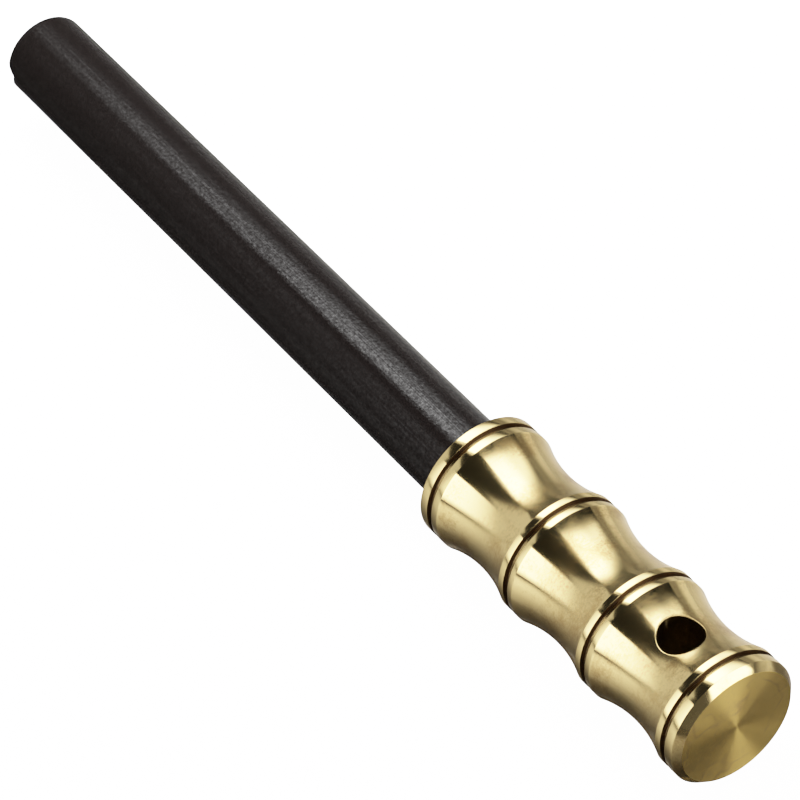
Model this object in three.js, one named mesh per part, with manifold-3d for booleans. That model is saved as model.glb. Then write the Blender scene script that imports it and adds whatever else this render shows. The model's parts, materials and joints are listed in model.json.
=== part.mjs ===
// Fire striker: a blunt black rod bonded into a turned brass grip with a cross hole for a cord.
// Millimetres, +Z up. The tool lies on its grip rings along X, with the grip's butt at +X
// and the rod's free end at -X. The origin is on the resting plane, under the middle of the tool.

import * as THREE from 'three';
import { mergeVertices } from 'three/addons/utils/BufferGeometryUtils.js';
import Module from 'manifold-3d';

// Grip, turned from 3/4 inch brass bar
const GRIP_RADIUS = 9.525;
const WAIST_RADIUS = 8.26;
const WAIST_LENGTH = 13.7;
const WAIST_STEPS = 8;
const WAIST_COUNT = 3;

// Each ring is two lands with a groove between them; lengths run from the butt towards the rod
const GROOVE_DEPTH = 0.7;
const BUTT_CHAMFER = { length: 1.05, depth: 0.93 };
const BUTT_RING = { rearLand: 1.4, groove: 0.9, frontLand: 0.95 };
const MIDDLE_RING = { rearLand: 0.92, groove: 0.96, frontLand: 0.92 };
const MOUTH_RING = { rearLand: 1.2, groove: 0.95, frontLand: 1.45 };

// Cross hole for a cord, upright through the rearmost waist, measured from the butt face
const CORD_HOLE_STATION = 10.6;
const CORD_HOLE_RADIUS = 3.1;

// Rod, 1/2 inch by 5 inch stock, and the drilled socket that it is bonded into
const ROD_RADIUS = 6.35;
const ROD_LENGTH = 127;
const ROD_SEAT_DEPTH = 19;
const ROD_EDGE_BREAK = 0.4;
const SOCKET_RADIUS = 6.55;
const SOCKET_DEPTH = 19.5;
const DRILL_POINT_HALF_ANGLE = THREE.MathUtils.degToRad(59);

// The bond fills the space between socket and rod, less this skin on each face
const BOND_SKIN = 0.03;
const BOND_RECESS = 0.4;

// Every turned piece has the same facets, with one of the rings' facets flat on the resting plane
const FACETS = 32;
const HOLE_FACETS = 32;

const ringLength = (ring) => ring.rearLand + ring.groove + ring.frontLand;

const GRIP_LENGTH = BUTT_CHAMFER.length + ringLength(BUTT_RING) + WAIST_COUNT * WAIST_LENGTH
  + (WAIST_COUNT - 1) * ringLength(MIDDLE_RING) + ringLength(MOUTH_RING);
const ROD_START = GRIP_LENGTH - ROD_SEAT_DEPTH;
const TOTAL_LENGTH = ROD_START + ROD_LENGTH;
const AXIS_HEIGHT = GRIP_RADIUS * Math.cos(Math.PI / FACETS);
const DRILL_POINT_LENGTH = SOCKET_RADIUS / Math.tan(DRILL_POINT_HALF_ANGLE);

const brass = new THREE.MeshStandardMaterial({ color: 0xb39a55, roughness: 0.28, metalness: 1.0 });
const blackRod = new THREE.MeshStandardMaterial({ color: 0x1d191a, roughness: 0.45, metalness: 0.3 });
const bond = new THREE.MeshStandardMaterial({ color: 0x8a8578, roughness: 0.6, metalness: 0.0 });

const wasm = await Module();
wasm.setup();

// A profile is a list of points (radius, station), where the station is the distance from the butt face.

function ringProfile(start, ring) {
  const grooveStart = start + ring.rearLand;
  const grooveEnd = grooveStart + ring.groove;
  return [
    [GRIP_RADIUS, start],
    [GRIP_RADIUS, grooveStart],
    [GRIP_RADIUS - GROOVE_DEPTH, grooveStart],
    [GRIP_RADIUS - GROOVE_DEPTH, grooveEnd],
    [GRIP_RADIUS, grooveEnd],
    [GRIP_RADIUS, grooveEnd + ring.frontLand],
  ];
}

// A waist is a circular arc through both ring edges and the waist's middle.
function waistProfile(start) {
  const half = WAIST_LENGTH / 2;
  const sag = GRIP_RADIUS - WAIST_RADIUS;
  const arcRadius = (half * half + sag * sag) / (2 * sag);
  const points = [];
  for (let step = 1; step < WAIST_STEPS; step += 1) {
    const along = (2 * step / WAIST_STEPS - 1) * half;
    const radius = WAIST_RADIUS + arcRadius - Math.sqrt(arcRadius * arcRadius - along * along);
    points.push([radius, start + half + along]);
  }
  return points;
}

function gripProfile() {
  const points = [[0, 0], [GRIP_RADIUS - BUTT_CHAMFER.depth, 0]];
  let station = BUTT_CHAMFER.length;
  const addRing = (ring) => {
    points.push(...ringProfile(station, ring));
    station += ringLength(ring);
  };
  addRing(BUTT_RING);
  for (let waist = 1; waist <= WAIST_COUNT; waist += 1) {
    points.push(...waistProfile(station));
    station += WAIST_LENGTH;
    addRing(waist < WAIST_COUNT ? MIDDLE_RING : MOUTH_RING);
  }
  const socketEnd = GRIP_LENGTH - SOCKET_DEPTH;
  points.push([SOCKET_RADIUS, GRIP_LENGTH], [SOCKET_RADIUS, socketEnd], [0, socketEnd - DRILL_POINT_LENGTH]);
  return points;
}

function rodProfile() {
  const shoulder = ROD_RADIUS - ROD_EDGE_BREAK;
  return [
    [0, ROD_START],
    [shoulder, ROD_START],
    [ROD_RADIUS, ROD_START + ROD_EDGE_BREAK],
    [ROD_RADIUS, TOTAL_LENGTH - ROD_EDGE_BREAK],
    [shoulder, TOTAL_LENGTH],
    [0, TOTAL_LENGTH],
  ];
}

// A cup around the rod's seated end, with a plug that fills the drill point.
function bondProfile() {
  const outer = SOCKET_RADIUS - BOND_SKIN;
  const inner = ROD_RADIUS + BOND_SKIN;
  const socketEnd = GRIP_LENGTH - SOCKET_DEPTH;
  const mouth = GRIP_LENGTH - BOND_RECESS;
  return [
    [0, socketEnd - DRILL_POINT_LENGTH + 2 * BOND_SKIN],
    [outer, socketEnd + BOND_SKIN],
    [outer, mouth],
    [inner, mouth],
    [inner, ROD_START - BOND_SKIN],
    [0, ROD_START - BOND_SKIN],
  ];
}

// Turns a profile about the tool's axis, which then runs from +X at the butt to -X at the rod's end.
function turned(profile) {
  const points = profile.map(([radius, station]) => new THREE.Vector2(radius, station));
  const geometry = new THREE.LatheGeometry(points, FACETS, Math.PI / FACETS);
  geometry.rotateZ(Math.PI / 2);
  return geometry;
}

function manifoldFrom(geometry) {
  const bare = geometry.clone();
  bare.deleteAttribute('normal');
  bare.deleteAttribute('uv');
  const merged = mergeVertices(bare, 1e-4);
  const corners = merged.index.array;
  const triangles = [];
  for (let i = 0; i < corners.length; i += 3) {
    const [a, b, c] = corners.slice(i, i + 3);
    if (a !== b && b !== c && c !== a) triangles.push(a, b, c);
  }
  return new wasm.Manifold(new wasm.Mesh({
    numProp: 3,
    vertProperties: new Float32Array(merged.attributes.position.array),
    triVerts: new Uint32Array(triangles),
  }));
}

function geometryFrom(manifold) {
  const mesh = manifold.getMesh();
  const geometry = new THREE.BufferGeometry();
  geometry.setAttribute('position', new THREE.BufferAttribute(mesh.vertProperties, 3));
  geometry.setIndex(new THREE.BufferAttribute(mesh.triVerts, 1));
  geometry.computeVertexNormals();
  return geometry;
}

// The turned grip less the cord hole, which is upright because the cutter stands along Z.
function gripGeometry() {
  const cutter = new THREE.CylinderGeometry(CORD_HOLE_RADIUS, CORD_HOLE_RADIUS, 3 * GRIP_RADIUS, HOLE_FACETS);
  cutter.rotateX(Math.PI / 2);
  cutter.translate(-CORD_HOLE_STATION, 0, 0);
  return geometryFrom(manifoldFrom(turned(gripProfile())).subtract(manifoldFrom(cutter)));
}

function namedMesh(name, geometry, material) {
  const mesh = new THREE.Mesh(geometry, material);
  mesh.name = name;
  return mesh;
}

const group = new THREE.Group();
group.position.set(TOTAL_LENGTH / 2, 0, AXIS_HEIGHT);
group.add(namedMesh('brass_grip', gripGeometry(), brass));
group.add(namedMesh('striker_rod', turned(rodProfile()), blackRod));
group.add(namedMesh('epoxy_bond', turned(bondProfile()), bond));

export default group;
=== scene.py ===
# Fire striker: a blunt black rod bonded into a turned brass grip, on a white studio table.
# Metres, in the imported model's frame: the tool lies along X with the grip's butt at +X.
import json
import math

import bmesh
import bpy
from mathutils import Matrix, Vector, noise


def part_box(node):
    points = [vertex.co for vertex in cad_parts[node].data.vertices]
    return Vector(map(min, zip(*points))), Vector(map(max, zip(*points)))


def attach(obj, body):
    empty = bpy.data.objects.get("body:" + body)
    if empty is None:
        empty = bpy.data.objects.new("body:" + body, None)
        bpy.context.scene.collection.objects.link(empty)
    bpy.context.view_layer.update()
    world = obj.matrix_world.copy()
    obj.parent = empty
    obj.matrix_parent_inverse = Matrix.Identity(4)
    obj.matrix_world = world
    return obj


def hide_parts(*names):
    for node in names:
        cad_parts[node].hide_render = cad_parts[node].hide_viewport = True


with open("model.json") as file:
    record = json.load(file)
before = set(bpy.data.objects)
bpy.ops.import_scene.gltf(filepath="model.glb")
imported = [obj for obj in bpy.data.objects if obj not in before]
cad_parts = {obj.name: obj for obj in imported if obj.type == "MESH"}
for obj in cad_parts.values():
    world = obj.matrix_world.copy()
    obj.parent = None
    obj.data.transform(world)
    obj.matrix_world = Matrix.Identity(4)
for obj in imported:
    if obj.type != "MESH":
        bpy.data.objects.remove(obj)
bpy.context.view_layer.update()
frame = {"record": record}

MM = 0.001
CAD_FACETS = 32

# Places and sizes taken from the frame
GRIP_LOW, GRIP_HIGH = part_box("brass_grip")
ROD_LOW, ROD_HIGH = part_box("striker_rod")
BOND_LOW, BOND_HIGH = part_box("epoxy_bond")
FACET_FLAT = math.cos(math.pi / CAD_FACETS)
GRIP_RADIUS = (GRIP_HIGH.y - GRIP_LOW.y) / 2 / FACET_FLAT
ROD_RADIUS = (ROD_HIGH.y - ROD_LOW.y) / 2 / FACET_FLAT
BOND_RADIUS = (BOND_HIGH.y - BOND_LOW.y) / 2 / FACET_FLAT
BUTT_X = GRIP_HIGH.x
GRIP_LENGTH = GRIP_HIGH.x - GRIP_LOW.x
AXIS_Z = (GRIP_LOW.z + GRIP_HIGH.z) / 2
FLOOR_Z = AXIS_Z - GRIP_RADIUS
HOLE_LOW, HOLE_HIGH = frame["record"]["physics"]["openings"][0]["box_m"]
HOLE_STATION = BUTT_X - (HOLE_LOW[0] + HOLE_HIGH[0]) / 2

# Grip profile, as in the CAD model. Stations run from the butt face towards the rod. The chamfer is a
# length and a depth, and a ring is the lengths of a land, a groove and a land.
WAIST_RADIUS = 8.26 * MM
WAIST_LENGTH = 13.7 * MM
WAIST_STEPS = 36
GROOVE_DEPTH = 0.7 * MM
BUTT_CHAMFER = (1.05 * MM, 0.93 * MM)
BUTT_RING = (1.4 * MM, 0.9 * MM, 0.95 * MM)
MIDDLE_RING = (0.92 * MM, 0.96 * MM, 0.92 * MM)
MOUTH_RING = (1.2 * MM, 0.95 * MM, 1.45 * MM)
RINGS = (BUTT_RING, MIDDLE_RING, MIDDLE_RING, MOUTH_RING)
SOCKET_RADIUS = 6.55 * MM
SOCKET_DEPTH = 19.5 * MM
SOCKET_END = GRIP_LENGTH - SOCKET_DEPTH
DRILL_POINT_ANGLE = math.radians(118)
DRILL_TIP = SOCKET_END - SOCKET_RADIUS / math.tan(DRILL_POINT_ANGLE / 2)
EDGE_ROUNDING = 0.07 * MM
GRIP_SEGMENTS = 256

# Cord hole: the patch of the waist around it is rebuilt as rings that run from the grid to the rim
HOLE_WAIST_MIDDLE = BUTT_CHAMFER[0] + sum(BUTT_RING) + WAIST_LENGTH / 2
HOLE_RADIUS = 3.1 * MM
HOLE_RIM = 0.14 * MM
HOLE_PATCH_HALF_STEPS = 24
HOLE_PATCH_LENGTH = 4.8 * MM
HOLE_PATCH_RINGS = 9
HOLE_PATCH_CROWDING = 0.8
HOLE_RIM_STEPS = 4
HOLE_WALL_STEPS = 10

# How much brown painted shade darkens the recesses, from 0 to 1. A groove's walls are fully shaded below a
# part of its depth, and its floor is nearly unshaded up to a part of its width.
GROOVE_SHADE_FROM = 0.1
GROOVE_FLOOR_UNSHADED = 0.7
GROOVE_FLOOR_SHADE = 0.15
HOLE_SHADE = 0.75
SOCKET_SHADE = 1.0

# Rod; the rings of its free end's face are parts of its radius
ROD_SEGMENTS = 192
ROD_STEPS = 150
ROD_EDGE_ROUNDING = 0.55 * MM
ROD_EDGE_STEPS = 8
ROD_END_RINGS = (0.85, 0.75, 0.6, 0.4, 0.2)
ROD_WAVE_HEIGHT = 0.012 * MM
ROD_WAVES_PER_METRE = 60
ROD_WAVES_PER_RADIAN = 2.2

# Chip in the free end's rim: it bites back along the rod, and less deeply towards the axis
CHIP_ANGLE = math.radians(182)
CHIP_SPREAD = math.radians(20)
CHIP_LENGTH = 1.9 * MM
CHIP_DEPTH = 0.95 * MM
CHIP_POINTEDNESS = 1.4
CHIP_RIM_POWER = 6
CHIP_INWARD_PART = 0.35
CHIP_ROUGHNESS = 0.25
CHIP_GRAINS_PER_METRE = 1500

# Bond
BOND_STEPS = 12
MENISCUS_STEPS = 8
MENISCUS_DEPTH = 0.09 * MM

# Colours and finishes
WHITE = (1.0, 1.0, 1.0)
WARM_WHITE = (1.0, 0.98, 0.95)
ROOM_TINT = (1.0, 0.97, 0.92)
BRASS = (0.85, 0.64, 0.28)
BRASS_FACED = (0.80, 0.55, 0.165)
BRASS_TARNISH = (0.52, 0.33, 0.12)
# Brown painted shade for the grip's grooves, cord hole and socket
BRASS_RECESS_SHADE = (0.085, 0.047, 0.02)
COATING_DARK = (0.0162, 0.0124, 0.0117)
COATING_PALE = (0.0204, 0.0158, 0.0148)
EPOXY_DARK = (0.30, 0.27, 0.20)
EPOXY_PALE = (0.42, 0.38, 0.29)
TABLE_SHADE = (0.06, 0.055, 0.05)
TABLE_WHITE = (0.88, 0.86, 0.83)
SHEET_WHITE = (0.85, 0.85, 0.85)
TOOL_MARKS_PER_METRE = 6500.0
TOOL_MARK_DEPTH = 0.0012 * MM
ROD_GRAIN_DEPTH = 0.045 * MM
BOND_GRAIN_DEPTH = 0.05 * MM

# Studio: the overhead softbox's height, the distance of the front boards and half the floor's width
TOP_HEIGHT = 0.50
BOARD_DISTANCE = 0.45
FLOOR_HALF = 6.0

# How strongly each part of the studio glows
SOFTBOX_LEVEL = 8.8
LIP_LEVEL = 1.7
BRIGHT_BOARD_LEVEL = 6.2
DIM_BOARD_LEVEL = 1.0
SIDE_LEVEL = 7.2
ROOM_LEVEL = 1.4
FILL_LEVEL = 0.35
BLACK_LEVEL = 0.02
WORLD_LEVEL = 0.12
TABLE_LEVEL = 0.30
SHEET_LEVEL = 4.2
BACKDROP_LEVEL = 6.0

# Camera: a long lens from the butt's side, above and to the right, rolled a little
CAMERA_AZIMUTH = math.radians(60.54)
CAMERA_ELEVATION = math.radians(47.04)
CAMERA_ROLL = math.radians(-8.08)
CAMERA_DISTANCE = 0.6030
CAMERA_TARGET = Vector((8.75 * MM, -0.1 * MM, AXIS_Z))
CAMERA_LENS_MM = 202.5
FILM_WIDTH_MM = 36.0

# Tone: the light at the end of the curve, and the curve's points as parts of it
WHITE_LIGHT = 5.0
TONE_POINTS = (0.03, 0.07, 0.12, 0.18, 0.26, 0.36, 0.5, 0.7)


# --- mesh helpers ---------------------------------------------------------------------------

def surface_point(station, radius, angle):
    return (BUTT_X - station, radius * math.cos(angle), AXIS_Z + radius * math.sin(angle))


def quarter_turn(steps):
    """Angles from 0 to 90 degrees."""
    return [math.pi / 2 * step / steps for step in range(steps + 1)]


def rounded(profile, radius, steps=3, least_turn=math.radians(12)):
    """Rounds the sharp corners of an open profile of (station, radius) points with small curves."""
    points = [Vector(p) for p in profile]
    result = [points[0]]
    for before, corner, after in zip(points, points[1:], points[2:]):
        back, ahead = before - corner, after - corner
        turn = math.pi - back.angle(ahead)
        if turn < least_turn:
            result.append(corner)
            continue
        reach = min(radius * math.tan(turn / 2), 0.45 * back.length, 0.45 * ahead.length)
        start = corner + back.normalized() * reach
        end = corner + ahead.normalized() * reach
        for step in range(steps + 1):
            t = step / steps
            result.append(start * (1 - t) ** 2 + corner * 2 * t * (1 - t) + end * t ** 2)
    result.append(points[-1])
    return [(p.x, p.y) for p in result]


def arc_radius(half, sag):
    return (half * half + sag * sag) / (2 * sag)


def waist_radius(offset):
    """Radius of a waist at an offset from its middle: a circular arc between the ring edges."""
    curve = arc_radius(WAIST_LENGTH / 2, GRIP_RADIUS - WAIST_RADIUS)
    return WAIST_RADIUS + curve - math.sqrt(curve * curve - offset * offset)


def new_piece(name, vertices, faces, materials, smooth=True):
    mesh = bpy.data.meshes.new(name)
    mesh.from_pydata(vertices, [], faces)
    edit = bmesh.new()
    edit.from_mesh(mesh)
    bmesh.ops.recalc_face_normals(edit, faces=edit.faces)
    edit.to_mesh(mesh)
    edit.free()
    for material in materials:
        mesh.materials.append(material)
    mesh.polygons.foreach_set("use_smooth", [smooth] * len(mesh.polygons))
    piece = bpy.data.objects.new(name, mesh)
    bpy.context.scene.collection.objects.link(piece)
    return piece


def remove_loose(piece):
    """Drops the points that no face uses."""
    edit = bmesh.new()
    edit.from_mesh(piece.data)
    loose = [v for v in edit.verts if not v.link_faces]
    bmesh.ops.delete(edit, geom=loose, context="VERTS")
    edit.to_mesh(piece.data)
    edit.free()


def weigh_normals(piece):
    """Flats keep their own normals, so that only the rounded edges carry the turn of the shading."""
    weighted = piece.modifiers.new("weighted_normals", "WEIGHTED_NORMAL")
    weighted.weight = 100


class Lathe:
    """Vertices and faces of a turned body; each profile point becomes a ring, or one point on the axis."""

    def __init__(self, profile, segments):
        self.segments = segments
        self.vertices = []
        self.faces = []
        self.rings = []
        for station, radius in profile:
            self.add_ring(station, radius)

    def add_ring(self, station, radius):
        if radius < 1e-9:
            self.vertices.append(surface_point(station, 0, 0))
            self.rings.append([len(self.vertices) - 1] * self.segments)
            return
        first = len(self.vertices)
        for j in range(self.segments):
            self.vertices.append(surface_point(station, radius, 2 * math.pi * j / self.segments))
        self.rings.append(list(range(first, first + self.segments)))

    def skin(self, skipped=lambda i, j: False):
        for i in range(len(self.rings) - 1):
            for j in range(self.segments):
                if skipped(i, j):
                    continue
                k = (j + 1) % self.segments
                corners = [self.rings[i][j], self.rings[i][k], self.rings[i + 1][k], self.rings[i + 1][j]]
                face = list(dict.fromkeys(corners))
                if len(face) > 2:
                    self.faces.append(face)

    def bridge(self, first, second):
        """Quads between two closed loops of equally many vertices."""
        for k in range(len(first)):
            n = (k + 1) % len(first)
            self.faces.append([first[k], first[n], second[n], second[k]])

    def extend(self, loop, points):
        """Adds a closed loop of points, joined to an earlier loop, and gives its vertices."""
        start = len(self.vertices)
        self.vertices += points
        added = list(range(start, start + len(points)))
        self.bridge(loop, added)
        return added


# --- brass grip -----------------------------------------------------------------------------

def ring_points(start, ring):
    rear, groove, front = ring
    floor = GRIP_RADIUS - GROOVE_DEPTH
    return [
        (start, GRIP_RADIUS),
        (start + rear, GRIP_RADIUS),
        (start + rear, floor),
        # End of the groove floor's nearly unshaded part; painted shade lies beyond it
        (start + rear + GROOVE_FLOOR_UNSHADED * groove, floor),
        (start + rear + groove, floor),
        (start + rear + groove, GRIP_RADIUS),
        (start + rear + groove + front, GRIP_RADIUS),
    ]


def waist_points(start):
    points = []
    for step in range(1, WAIST_STEPS):
        along = WAIST_LENGTH * step / WAIST_STEPS
        points.append((start + along, waist_radius(along - WAIST_LENGTH / 2)))
    return points


def grip_profile():
    """From the middle of the butt face, along the outside to the mouth, and back inside the socket."""
    chamfer_length, chamfer_depth = BUTT_CHAMFER
    points = [(0, 0), (0, 0.5 * GRIP_RADIUS), (0, GRIP_RADIUS - chamfer_depth)]
    station = chamfer_length
    points += ring_points(station, RINGS[0])
    station += sum(RINGS[0])
    for ring in RINGS[1:]:
        points += waist_points(station)
        station += WAIST_LENGTH
        points += ring_points(station, ring)
        station += sum(ring)
    points += [(GRIP_LENGTH, SOCKET_RADIUS), (SOCKET_END, SOCKET_RADIUS), (DRILL_TIP, 0)]
    return rounded(points, EDGE_ROUNDING)


def hole_block(profile):
    """First and last profile ring of the patch around the cord hole."""
    near = [i for i, (station, _) in enumerate(profile) if abs(station - HOLE_STATION) < HOLE_PATCH_LENGTH]
    outer = [i for i in near if profile[i][1] > WAIST_RADIUS - EDGE_ROUNDING]
    return outer[0], outer[-1]


def block_outline(first, last, middle, half):
    """Grid places (ring, segment) around the patch, in order."""
    low, high = middle - half, middle + half
    outline = [(i, low) for i in range(first, last)]
    outline += [(last, j) for j in range(low, high)]
    outline += [(i, high) for i in range(last, first, -1)]
    outline += [(first, j) for j in range(high, low, -1)]
    return outline


def patch_points(station, angle, direction):
    """Points (station, across, height) on the waist, from a place on the grid towards the rim."""
    reach = HOLE_RADIUS + HOLE_RIM
    rim_station = HOLE_STATION + reach * math.cos(direction)
    rim_angle = math.acos(reach * math.sin(direction) / waist_radius(rim_station - HOLE_WAIST_MIDDLE))
    points = []
    for n in range(1, HOLE_PATCH_RINGS):
        t = (n / HOLE_PATCH_RINGS) ** HOLE_PATCH_CROWDING
        s = station + (rim_station - station) * t
        a = angle + (rim_angle - angle) * t
        radius = waist_radius(s - HOLE_WAIST_MIDDLE)
        points.append((s, radius * math.cos(a), radius * math.sin(a)))
    return points


def rim_points(direction):
    """Points (station, across, height) of the rounded rim, from the waist down to the hole's wall."""
    points = []
    for turn in quarter_turn(HOLE_RIM_STEPS):
        reach = HOLE_RADIUS + HOLE_RIM * (1 - math.sin(turn))
        along, across = reach * math.cos(direction), reach * math.sin(direction)
        radius = waist_radius(HOLE_STATION + along - HOLE_WAIST_MIDDLE)
        height = math.sqrt(radius * radius - across * across) - HOLE_RIM * (1 - math.cos(turn))
        points.append((HOLE_STATION + along, across, height))
    return points


def hole_rings(profile, outline):
    """Rings of points from the grid down to the hole's wall, on the top side."""
    lines = []
    for i, j in outline:
        station = profile[i][0]
        angle = 2 * math.pi * j / GRIP_SEGMENTS
        direction = math.atan2(-WAIST_RADIUS * (angle - math.pi / 2), station - HOLE_STATION)
        lines.append(patch_points(station, angle, direction) + rim_points(direction))
    return list(zip(*lines))


def drill_hole(lathe, profile):
    """Joins the grid's two openings to the rings of the hole, and the two rims by the hole's wall."""
    first, last = hole_block(profile)
    outline = block_outline(first, last, GRIP_SEGMENTS // 4, HOLE_PATCH_HALF_STEPS)
    rings = hole_rings(profile, outline)
    rims = []
    for side in (1, -1):
        loop = [lathe.rings[i][(side * j) % GRIP_SEGMENTS] for i, j in outline]
        for ring in rings:
            loop = lathe.extend(loop, [(BUTT_X - s, y, AXIS_Z + side * z) for s, y, z in ring])
        rims.append(loop)
    top, bottom = rims
    loop = top
    for step in range(1, HOLE_WALL_STEPS):
        part = step / HOLE_WALL_STEPS
        ends = [(Vector(lathe.vertices[a]), Vector(lathe.vertices[b])) for a, b in zip(top, bottom)]
        loop = lathe.extend(loop, [tuple(upper.lerp(lower, part)) for upper, lower in ends])
    lathe.bridge(loop, bottom)


def groove_spans():
    """First and last station of each ring's groove."""
    spans = []
    station = BUTT_CHAMFER[0]
    for ring in RINGS:
        rear, groove, _ = ring
        spans.append((station + rear, station + rear + groove))
        station += sum(ring) + WAIST_LENGTH
    return spans


def groove_shade(station, radius, low, high):
    """Full painted shade on a groove's walls and beside its far wall; the rest of its floor is nearly
    unshaded.
    """
    on_floor = radius < GRIP_RADIUS - 0.9 * GROOVE_DEPTH
    if on_floor and station < low + (GROOVE_FLOOR_UNSHADED + 0.05) * (high - low):
        return GROOVE_FLOOR_SHADE
    return (GRIP_RADIUS - radius) / (GROOVE_SHADE_FROM * GROOVE_DEPTH)


def recess_shade_at(station, across, radius, grooves):
    """How much painted shade darkens the grip at a point: in a groove, in the cord hole, in the socket or
    elsewhere.
    """
    for low, high in grooves:
        if low - EDGE_ROUNDING < station < high + EDGE_ROUNDING:
            return groove_shade(station, radius, low, high)
    if math.hypot(station - HOLE_STATION, across) < HOLE_RADIUS + 0.5 * HOLE_RIM:
        return HOLE_SHADE
    if station > DRILL_TIP and radius < SOCKET_RADIUS + 0.01 * MM:
        return SOCKET_SHADE
    return 0.0


def paint_recess_shade(piece):
    """Stores how much painted shade darkens each vertex of the grip, from 0 to 1."""
    grooves = groove_spans()
    marks = piece.data.attributes.new("recess_shade", "FLOAT", "POINT")
    for vertex, mark in zip(piece.data.vertices, marks.data):
        x, y, z = vertex.co.x, vertex.co.y, vertex.co.z - AXIS_Z
        tarnish_and_shade = recess_shade_at(BUTT_X - x, y, math.hypot(y, z), grooves)
        mark.value = min(1.0, max(0.0, tarnish_and_shade))


def make_grip(materials):
    profile = grip_profile()
    first, last = hole_block(profile)
    middles = (GRIP_SEGMENTS // 4, 3 * GRIP_SEGMENTS // 4)
    half = HOLE_PATCH_HALF_STEPS

    def in_block(i, j):
        return first <= i < last and any(m - half <= j < m + half for m in middles)

    lathe = Lathe(profile, GRIP_SEGMENTS)
    lathe.skin(skipped=in_block)
    drill_hole(lathe, profile)
    piece = new_piece("turned_brass_grip", lathe.vertices, lathe.faces, materials)
    remove_loose(piece)
    paint_recess_shade(piece)
    for face in piece.data.polygons:
        face.material_index = 1 if face.center.x > BUTT_X - 0.02 * MM else 0
    weigh_normals(piece)
    return piece


# --- rod and bond ---------------------------------------------------------------------------

def rod_profile():
    """From the seated end to the free end, both with rounded edges."""
    start, end = BUTT_X - ROD_HIGH.x, BUTT_X - ROD_LOW.x
    edge = ROD_EDGE_ROUNDING
    straight = end - start - 2 * edge
    points = [(start, 0)]
    for turn in quarter_turn(ROD_EDGE_STEPS):
        points.append((start + edge * (1 - math.cos(turn)), ROD_RADIUS - edge * (1 - math.sin(turn))))
    for step in range(1, ROD_STEPS):
        points.append((start + edge + straight * step / ROD_STEPS, ROD_RADIUS))
    for turn in quarter_turn(ROD_EDGE_STEPS):
        points.append((end - edge * (1 - math.sin(turn)), ROD_RADIUS - edge * (1 - math.cos(turn))))
    points += [(end, ROD_RADIUS * part) for part in ROD_END_RINGS]
    points.append((end, 0))
    return points


def worn(point):
    """A rod point moved by faint drawing waves, and by the small chip in the free end's rim."""
    x, y, z = point[0], point[1], point[2] - AXIS_Z
    radius = math.hypot(y, z)
    if radius < 1e-6:
        return point
    angle = math.atan2(z, y) % (2 * math.pi)
    wave = noise.noise(Vector((x * ROD_WAVES_PER_METRE,
                               math.cos(angle) * ROD_WAVES_PER_RADIAN,
                               math.sin(angle) * ROD_WAVES_PER_RADIAN)))
    scale = 1 + ROD_WAVE_HEIGHT * wave / ROD_RADIUS
    away = min(1.0, abs(angle - CHIP_ANGLE) / CHIP_SPREAD)
    from_end = (x - ROD_LOW.x) / CHIP_LENGTH
    bite = (1 - away) ** CHIP_POINTEDNESS * max(0.0, 1 - from_end) * (radius / ROD_RADIUS) ** CHIP_RIM_POWER
    rough = 1 + CHIP_ROUGHNESS * noise.noise(Vector((x, y, z)) * CHIP_GRAINS_PER_METRE)
    x += CHIP_DEPTH * bite * rough
    scale -= CHIP_INWARD_PART * CHIP_DEPTH * bite * rough / ROD_RADIUS
    return (x, y * scale, AXIS_Z + z * scale)


def make_rod(material):
    lathe = Lathe(rod_profile(), ROD_SEGMENTS)
    lathe.skin()
    vertices = [worn(p) for p in lathe.vertices]
    return new_piece("black_striker_rod", vertices, lathe.faces, [material])


def make_bond(material):
    """A cup of resin round the seated rod, filling the drill point, with a hollow meniscus at the mouth."""
    rod_start = BUTT_X - ROD_HIGH.x
    mouth = BUTT_X - BOND_LOW.x
    clearance = SOCKET_RADIUS - BOND_RADIUS
    inner = ROD_RADIUS + clearance
    points = [(DRILL_TIP + 2 * clearance, 0), (SOCKET_END + clearance, BOND_RADIUS)]
    for step in range(2, BOND_STEPS):
        points.append((SOCKET_END + (mouth - SOCKET_END) * step / BOND_STEPS, BOND_RADIUS))
    for step in range(MENISCUS_STEPS + 1):
        t = step / MENISCUS_STEPS
        station = mouth - MENISCUS_DEPTH * math.sin(math.pi * t)
        points.append((station, BOND_RADIUS + (inner - BOND_RADIUS) * t))
    for step in range(1, BOND_STEPS):
        points.append((mouth + (rod_start - mouth) * step / BOND_STEPS, inner))
    points += [(rod_start - clearance, inner), (rod_start - clearance, 0)]
    lathe = Lathe(points, ROD_SEGMENTS)
    lathe.skin()
    return new_piece("cured_epoxy_bond", lathe.vertices, lathe.faces, [material])


# --- material helpers -----------------------------------------------------------------------

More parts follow.
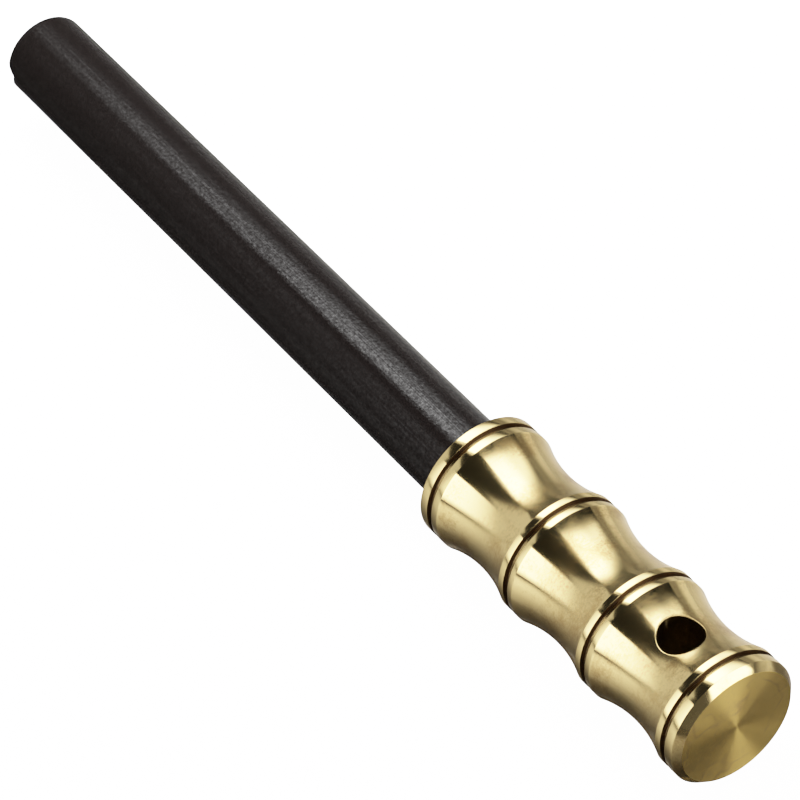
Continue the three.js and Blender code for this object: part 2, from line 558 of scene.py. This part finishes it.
class Nodes:
    """Short calls for building a node tree."""

    def __init__(self, name):
        self.material = bpy.data.materials.new(name)
        self.material.use_nodes = True
        self.tree = self.material.node_tree
        self.tree.nodes.clear()

    def add(self, kind, inputs=None, **settings):
        node = self.tree.nodes.new(kind)
        for key, value in settings.items():
            setattr(node, key, value)
        for key, value in (inputs or {}).items():
            if isinstance(value, bpy.types.NodeSocket):
                self.tree.links.new(value, node.inputs[key])
            else:
                node.inputs[key].default_value = value
        return node

    def math(self, operation, *values):
        return self.add("ShaderNodeMath", dict(enumerate(values)), operation=operation).outputs[0]

    def vector(self, operation, *values):
        node = self.add("ShaderNodeVectorMath", dict(enumerate(values)), operation=operation)
        return node.outputs["Value" if operation == "LENGTH" else "Vector"]

    def product(self, value, *factors):
        for factor in factors:
            value = self.math("MULTIPLY", value, factor)
        return value

    def weighted(self, value, *terms):
        """The value, plus each term's own value times its weight."""
        for term, weight in terms:
            value = self.math("MULTIPLY_ADD", term, weight, value)
        return value

    def ramp(self, value, low, high, out_low=0.0, out_high=1.0, smooth=True):
        inputs = {"Value": value, "From Min": low, "From Max": high, "To Min": out_low, "To Max": out_high}
        kind = "SMOOTHSTEP" if smooth else "LINEAR"
        return self.add("ShaderNodeMapRange", inputs, interpolation_type=kind).outputs["Result"]

    def noise(self, place, scale=1.0, detail=2.0, rough=0.5):
        inputs = {"Vector": place, "Scale": scale, "Detail": detail, "Roughness": rough}
        return self.add("ShaderNodeTexNoise", inputs).outputs["Fac"]

    def mix(self, factor, a, b):
        node = self.add("ShaderNodeMix", {"Factor": factor}, data_type="RGBA")
        for socket, value in ((node.inputs[6], a), (node.inputs[7], b)):
            if isinstance(value, bpy.types.NodeSocket):
                self.tree.links.new(value, socket)
            else:
                socket.default_value = (*value, 1.0)
        return node.outputs[2]

    def place(self):
        return self.add("ShaderNodeTexCoord").outputs["Object"]

    def split(self, vector):
        """X, Y and Z of a vector."""
        return tuple(self.add("ShaderNodeSeparateXYZ", {0: vector}).outputs)

    def join(self, x=0.0, y=0.0, z=0.0):
        return self.add("ShaderNodeCombineXYZ", {0: x, 1: y, 2: z}).outputs[0]

    def bump(self, height, depth):
        node = self.add("ShaderNodeBump", {"Strength": 1.0, "Distance": depth, "Height": height})
        return node.outputs[0]

    def glow(self, level, colour=WHITE):
        return self.add("ShaderNodeEmission", {"Color": (*colour, 1.0), "Strength": level})

    def finish(self, shader):
        self.add("ShaderNodeOutputMaterial", {"Surface": shader.outputs[0]})
        return self.material


class TurnedNodes(Nodes):
    """Nodes for a turned body, with its places along, out from and round the axis."""

    def __init__(self, name):
        super().__init__(name)
        self.local = self.vector("SUBTRACT", self.place(), (0, 0, AXIS_Z))
        self.x, y, z = self.split(self.local)
        from_axis = self.join(y=y, z=z)
        self.radius = self.vector("LENGTH", from_axis)
        self.direction = self.vector("NORMALIZE", from_axis)
        _, self.way_y, self.way_z = self.split(self.direction)

    def stretched(self, distance, per_metre, per_radian):
        """Noise coordinates with their own counts of cells along a distance and round the axis."""
        return self.join(self.product(distance, per_metre),
                         self.product(self.way_y, per_radian),
                         self.product(self.way_z, per_radian))


def tarnish(n, low, high):
    """Patches of fine brown specks, drawn out a little round the axis."""
    patches = n.noise(n.local, scale=160.0, detail=5.0, rough=0.6)
    specks = n.noise(n.stretched(n.x, per_metre=3200.0, per_radian=11.0), detail=3.0, rough=0.7)
    dots = n.noise(n.local, scale=3400.0, detail=2.0, rough=0.6)
    return n.ramp(n.weighted(patches, (specks, 0.3), (dots, 0.3)), low, high)


def brass_finish(n, colour, rough, anisotropy, tangent, marks):
    """Metal with fine tool marks; the recesses are darkened by brown painted shade, and are rougher."""
    recess_shade = n.add("ShaderNodeAttribute", attribute_name="recess_shade").outputs["Fac"]
    return n.finish(n.add("ShaderNodeBsdfPrincipled", {
        # Painted shade darkens the recesses to a dark brown
        "Base Color": n.mix(recess_shade, colour, BRASS_RECESS_SHADE),
        "Metallic": 1.0,
        "Roughness": n.weighted(rough, (recess_shade, 0.25)),
        "Anisotropic": anisotropy,
        "Tangent": tangent,
        "Normal": n.bump(marks, TOOL_MARK_DEPTH),
    }))


def turned_brass():
    """Brass turned on a lathe: fine marks round the axis, so reflections smear along it.

    The waists are tarnished, and duller in their middles; the ring lands are clean."""
    n = TurnedNodes("turned_brass")
    marks = n.noise(n.stretched(n.x, TOOL_MARKS_PER_METRE, per_radian=1.5), detail=3.0, rough=0.6)
    cloud = n.noise(n.local, scale=260.0, detail=4.0, rough=0.62)
    wide = n.ramp(n.radius, WAIST_RADIUS, GRIP_RADIUS)
    land = n.ramp(n.radius, 0.985 * GRIP_RADIUS, 0.998 * GRIP_RADIUS)
    tarnish_and_shade = n.product(tarnish(n, 0.71, 1.01), n.math("SUBTRACT", 1.0, land))
    colour = n.mix(n.product(tarnish_and_shade, 0.8), BRASS, BRASS_TARNISH)
    rough = n.weighted(0.135, (cloud, 0.05), (wide, -0.06), (tarnish_and_shade, 0.08), (land, 0.02))
    along = n.join(x=1.0)
    return brass_finish(n, colour, rough, 0.9, along, marks)


def faced_brass():
    """The faced butt: tool marks in rings about the centre, and thin wandering stain lines."""
    n = TurnedNodes("faced_brass")
    marks = n.noise(n.stretched(n.radius, TOOL_MARKS_PER_METRE, per_radian=1.0), detail=3.0, rough=0.6)
    cloud = n.noise(n.local, scale=210.0, detail=3.0, rough=0.55)
    shifted = n.vector("ADD", n.local, (0.31, 0.12, 0.07))
    field = n.noise(shifted, scale=120.0, detail=2.0, rough=0.45)
    from_line = n.math("ABSOLUTE", n.math("SUBTRACT", field, 0.5))
    line = n.product(n.ramp(from_line, 0.0, 0.024, 1.0, 0.0), n.ramp(cloud, 0.38, 0.58, 0.0, 0.5))
    tarnish_and_shade = n.weighted(line, (tarnish(n, 0.75, 1.15), 0.5))
    colour = n.mix(tarnish_and_shade, BRASS_FACED, BRASS_TARNISH)
    rough = n.weighted(0.29, (cloud, 0.06))
    return brass_finish(n, colour, rough, 1.0, n.direction, marks)


def rod_material():
    """Black coated rod: streaks along it, fine grain across it, and specks.

    It shines less towards its free end, where it is rougher; its weaker shine on its -Y side is painted
    shade."""
    n = TurnedNodes("black_coating")
    streak = n.noise(n.stretched(n.x, per_metre=18.0, per_radian=40.0), detail=4.0, rough=0.75)
    grain = n.noise(n.stretched(n.x, per_metre=3000.0, per_radian=16.0), detail=3.0, rough=0.65)
    mottle = n.noise(n.local, scale=1900.0, detail=3.0, rough=0.65)
    cloud = n.noise(n.local, scale=240.0, detail=3.0, rough=0.6)
    free_end = n.ramp(n.x, GRIP_LOW.x, ROD_LOW.x, smooth=False)
    shine = n.product(
        n.ramp(streak, 0.42, 0.57, 0.32, 0.82),
        n.ramp(grain, 0.38, 0.62, 0.6, 1.4),
        n.weighted(1.0, (free_end, -0.78)),
        n.ramp(mottle, 0.38, 0.62, 0.55, 1.45),
        # Painted shade: the rod shines less on its -Y side
        n.ramp(n.way_y, -0.80, -0.40, 0.35, 1.0),
    )
    height = n.weighted(0.0, (grain, 0.3), (streak, 0.15), (mottle, 0.6))
    return n.finish(n.add("ShaderNodeBsdfPrincipled", {
        "Base Color": n.mix(mottle, COATING_DARK, COATING_PALE),
        "Roughness": n.weighted(0.06, (cloud, 0.08), (free_end, 0.16)),
        "IOR": 1.26,
        "Specular IOR Level": shine,
        "Normal": n.bump(height, ROD_GRAIN_DEPTH),
    }))


def bond_material():
    n = Nodes("cured_epoxy")
    cloud = n.noise(n.place(), scale=900.0, detail=3.0)
    return n.finish(n.add("ShaderNodeBsdfPrincipled", {
        "Base Color": n.mix(cloud, EPOXY_DARK, EPOXY_PALE),
        "Roughness": n.weighted(0.25, (cloud, 0.2)),
        "Normal": n.bump(cloud, BOND_GRAIN_DEPTH),
    }))


# --- studio ---------------------------------------------------------------------------------

def glow_material(name, level, colour=WHITE, soft=(0, 0, 0, 0), least=0.0):
    """Emission that fades to a least part of itself at the card's edges.

    The fade widths in soft are at the card's left, right, bottom and top, as parts of its size."""
    n = Nodes(name)
    places = n.split(n.add("ShaderNodeUVMap").outputs[0])
    for place, (low, high) in zip(places, (soft[:2], soft[2:])):
        if low:
            level = n.product(level, n.ramp(place, 0.0, low, least, 1.0))
        if high:
            level = n.product(level, n.ramp(place, 1.0 - high, 1.0, 1.0, least))
    return n.finish(n.glow(level, colour))


def softbox_material(height):
    """An even cloth that dims with distance from its brightest place, and towards its +X and +Y sides.

    Its +X end is cut off, and its -X end fades out, along lines that slant across it."""
    n = Nodes("overhead_glow")
    place = n.place()
    offset = n.vector("SUBTRACT", place, (0.08 * height, 0.0, height))
    away = n.vector("LENGTH", n.vector("MULTIPLY", offset, (1.0, 0.78, 1.0)))
    x, y, _ = n.split(place)
    near_end = n.weighted(x, (y, 0.2))
    far_end = n.weighted(x, (y, 0.5))
    level = n.product(
        n.ramp(away, 0.82 * height, 1.75 * height, SOFTBOX_LEVEL, 0.0),
        n.ramp(y, 0.2 * height, 0.75 * height, 1.0, 0.5),
        n.ramp(near_end, -0.6 * height, 0.0, 1.0, 0.75, smooth=False),
        n.ramp(near_end, -0.06 * height, 0.07 * height, 1.0, 0.0),
        n.ramp(far_end, -1.28 * height, -1.04 * height),
    )
    return n.finish(n.glow(level, (1.0, 1.0, 0.99)))


def card(name, corners, material, diffuse=False):
    """A four-cornered studio card, which only reflections see unless it gives diffuse light too."""
    piece = new_piece(name, [tuple(c) for c in corners], [(0, 1, 2, 3)], [material], smooth=False)
    layer = piece.data.uv_layers.new(name="uv")
    for loop in piece.data.loops:
        layer.data[loop.index].uv = ((0, 0), (1, 0), (1, 1), (0, 1))[loop.vertex_index]
    piece.visible_camera = False
    piece.visible_shadow = False
    piece.visible_diffuse = diffuse


def level_card(name, corners, height, material, diffuse=False):
    """A level card; its corners and its height are in multiples of the softbox's height."""
    h = TOP_HEIGHT
    card(name, [Vector((x * h, y * h, height * h)) for x, y in corners], material, diffuse)


def upright_board(name, azimuth, distance, left, right, bottom, top, material):
    """A board that faces the tool: left and right are distances along it, seen from the tool."""
    turn = math.radians(azimuth)
    away = Vector((math.sin(turn), -math.cos(turn), 0)) * distance
    side = Vector((math.cos(turn), math.sin(turn), 0))
    low = Vector((0, 0, AXIS_Z + bottom))
    high = Vector((0, 0, AXIS_Z + top))
    corners = [away + side * left + low, away + side * right + low,
               away + side * right + high, away + side * left + high]
    card(name, corners, material)


def make_softbox():
    """The overhead cloth, a dim lip beside its -Y edge, and a black flag just above them."""
    level_card("overhead_softbox", ((0.25, 0.018), (-2.1, -0.25), (-2.1, 2.1), (0.25, 2.1)), 1.0,
               softbox_material(TOP_HEIGHT), diffuse=True)
    level_card("softbox_lip", ((0.0, -0.10), (-1.10, -0.2375), (-1.10, -0.135), (0.0, -0.006)), 1.0,
               glow_material("lip_glow", LIP_LEVEL, WARM_WHITE, soft=(0.55, 0.25, 0.40, 0)))
    level_card("black_flag", ((-1.6, -1.4), (0.6, -1.4), (0.6, 0.02), (-1.6, -0.1)), 1.04,
               glow_material("flag_black", BLACK_LEVEL))


def make_boards():
    """Front boards on the -Y side, one with a black foot; a softbox beyond the butt; the room behind."""
    d = BOARD_DISTANCE
    upright_board("bright_board", azimuth=0, distance=d, left=-0.90 * d, right=0.45 * d, bottom=0.0, top=d,
                  material=glow_material("bright_board_glow", BRIGHT_BOARD_LEVEL, (1.0, 1.0, 0.985),
                                         soft=(0.85, 0, 0.20, 0), least=0.28))
    upright_board("board_foot", azimuth=0, distance=0.98 * d, left=-0.58 * d, right=0.45 * d,
                  bottom=-0.002, top=0.009, material=glow_material("foot_black", BLACK_LEVEL))
    upright_board("dim_board", azimuth=-35, distance=0.9 * d, left=-1.16 * d, right=-0.06 * d,
                  bottom=0.0, top=0.93 * d,
                  material=glow_material("dim_board_glow", DIM_BOARD_LEVEL, (1.0, 0.99, 0.97)))
    upright_board("side_softbox", azimuth=110, distance=0.6, left=-0.38, right=0.38, bottom=0.16, top=1.0,
                  material=glow_material("side_glow", SIDE_LEVEL, (1.0, 1.0, 0.98),
                                         soft=(0.08, 0.08, 0.08, 0.08)))
    upright_board("room_wall", azimuth=180, distance=0.9, left=-0.9, right=1.3, bottom=-0.05, top=0.32,
                  material=glow_material("room_glow", ROOM_LEVEL, ROOM_TINT,
                                         soft=(0.5, 0.6, 0, 0.6), least=0.25))
    upright_board("room_fill", azimuth=180, distance=0.95, left=-0.9, right=1.7, bottom=-0.05, top=0.85,
                  material=glow_material("fill_glow", FILL_LEVEL, ROOM_TINT))


def make_world():
    world = bpy.data.worlds.new("studio_room")
    world.use_nodes = True
    background = world.node_tree.nodes["Background"]
    background.inputs["Color"].default_value = (*WARM_WHITE, 1.0)
    background.inputs["Strength"].default_value = WORLD_LEVEL
    bpy.context.scene.world = world


def table_material():
    """Satin white with painted shadow and painted light: dark under the tool, lit before, behind and beyond
    it, and glowing faintly in that painted colour.
    """
    n = Nodes("satin_table_painted_shade_and_light")
    x, y, _ = n.split(n.place())
    # Painted shadow under and beside the tool, and painted light on the table before, behind and beyond it
    before = n.product(
        n.ramp(y, -38 * MM, -8 * MM, 0.62, 0.0),
        n.ramp(x, 100 * MM, 135 * MM, 1.0, 0.0),
    )
    behind = n.product(
        n.ramp(y, -1 * MM, 3 * MM),
        n.ramp(y, 20 * MM, 170 * MM, 1.0, 0.3),
        n.ramp(x, -50 * MM, 40 * MM, 0.55, 1.0),
        n.ramp(x, 62 * MM, 84 * MM, 1.0, 0.08),
    )
    beyond_butt = n.product(
        n.ramp(x, 88 * MM, 115 * MM),
        n.ramp(y, -35 * MM, -8 * MM),
    )
    lit = n.math("MAXIMUM", n.math("MAXIMUM", before, behind), beyond_butt)
    colour = n.mix(lit, TABLE_SHADE, TABLE_WHITE)
    return n.finish(n.add("ShaderNodeBsdfPrincipled", {
        "Base Color": colour,
        "Roughness": 0.20,
        "IOR": 1.6,
        "Specular IOR Level": n.ramp(x, 78 * MM, 88 * MM, 0.5, 0.22),
        # Painted light: the table glows faintly in its painted colour
        "Emission Color": colour,
        "Emission Strength": TABLE_LEVEL,
    }))


def sheet_material():
    n = Nodes("white_sheet")
    lit = n.add("ShaderNodeBsdfDiffuse", {"Color": (*SHEET_WHITE, 1.0)})
    glow = n.glow(SHEET_LEVEL)
    return n.finish(n.add("ShaderNodeAddShader", {0: lit.outputs[0], 1: glow.outputs[0]}))


def new_floor(name, height, material):
    half = FLOOR_HALF
    corners = [(-half, -half, height), (half, -half, height), (half, half, height), (-half, half, height)]
    floor = new_piece(name, corners, [(0, 1, 2, 3)], [material], smooth=False)
    return floor


def show_only_to_camera(piece):
    for way in ("visible_glossy", "visible_diffuse", "visible_shadow", "visible_transmission"):
        setattr(piece, way, False)


def make_table():
    """The table that light and reflections meet, and the paler sheet over it that the camera sees."""
    table = new_floor("table", FLOOR_Z, table_material())
    table.visible_camera = False
    sheet = new_floor("white_floor", FLOOR_Z + 0.001 * MM, sheet_material())
    show_only_to_camera(sheet)


def make_backdrop():
    """A wide white drum round the studio, closed at the top, which only the camera sees."""
    n = Nodes("backdrop_white")
    material = n.finish(n.glow(BACKDROP_LEVEL))
    count, radius, height = 48, 5.0, 6.0
    turns = [2 * math.pi * k / count for k in range(count)]
    vertices = []
    for z in (FLOOR_Z - 0.1, height):
        vertices += [(radius * math.cos(turn), radius * math.sin(turn), z) for turn in turns]
    faces = [(k, (k + 1) % count, count + (k + 1) % count, count + k) for k in range(count)]
    faces.append(tuple(range(count, 2 * count)))
    drum = new_piece("backdrop", vertices, faces, [material], smooth=False)
    show_only_to_camera(drum)


def make_camera():
    back = Vector((math.sin(CAMERA_AZIMUTH) * math.cos(CAMERA_ELEVATION),
                   -math.cos(CAMERA_AZIMUTH) * math.cos(CAMERA_ELEVATION),
                   math.sin(CAMERA_ELEVATION)))
    data = bpy.data.cameras.new("camera")
    data.sensor_width = FILM_WIDTH_MM
    data.lens = CAMERA_LENS_MM
    data.clip_start, data.clip_end = 0.01, 50.0
    camera = bpy.data.objects.new("camera", data)
    bpy.context.scene.collection.objects.link(camera)
    camera.rotation_mode = "QUATERNION"
    camera.location = CAMERA_TARGET + back * CAMERA_DISTANCE
    facing = (-back).to_track_quat("-Z", "Y").to_matrix()
    camera.rotation_quaternion = (facing @ Matrix.Rotation(CAMERA_ROLL, 3, "Z")).to_quaternion()
    bpy.context.scene.camera = camera


def set_tone():
    """A film-like shoulder, 1 - exp(-light), as a curve before a plain sRGB view."""
    view = bpy.context.scene.view_settings
    view.view_transform = "Standard"
    view.look = "None"
    view.use_curve_mapping = True
    mapping = view.curve_mapping
    mapping.white_level = (WHITE_LIGHT, WHITE_LIGHT, WHITE_LIGHT)
    curve = mapping.curves[3]
    for place in TONE_POINTS:
        curve.points.new(place, 1 - math.exp(-WHITE_LIGHT * place))
    mapping.update()


# --- assembly -------------------------------------------------------------------------------

def main():
    pieces = {
        "brass_grip": (make_grip([turned_brass(), faced_brass()]), "brass"),
        "striker_rod": (make_rod(rod_material()), "black_rod"),
        "epoxy_bond": (make_bond(bond_material()), "epoxy"),
    }
    for node, (piece, slot) in pieces.items():
        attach(piece, "root")
        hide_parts(node)
    make_table()
    make_backdrop()
    make_softbox()
    make_boards()
    make_world()
    make_camera()
    set_tone()


main()
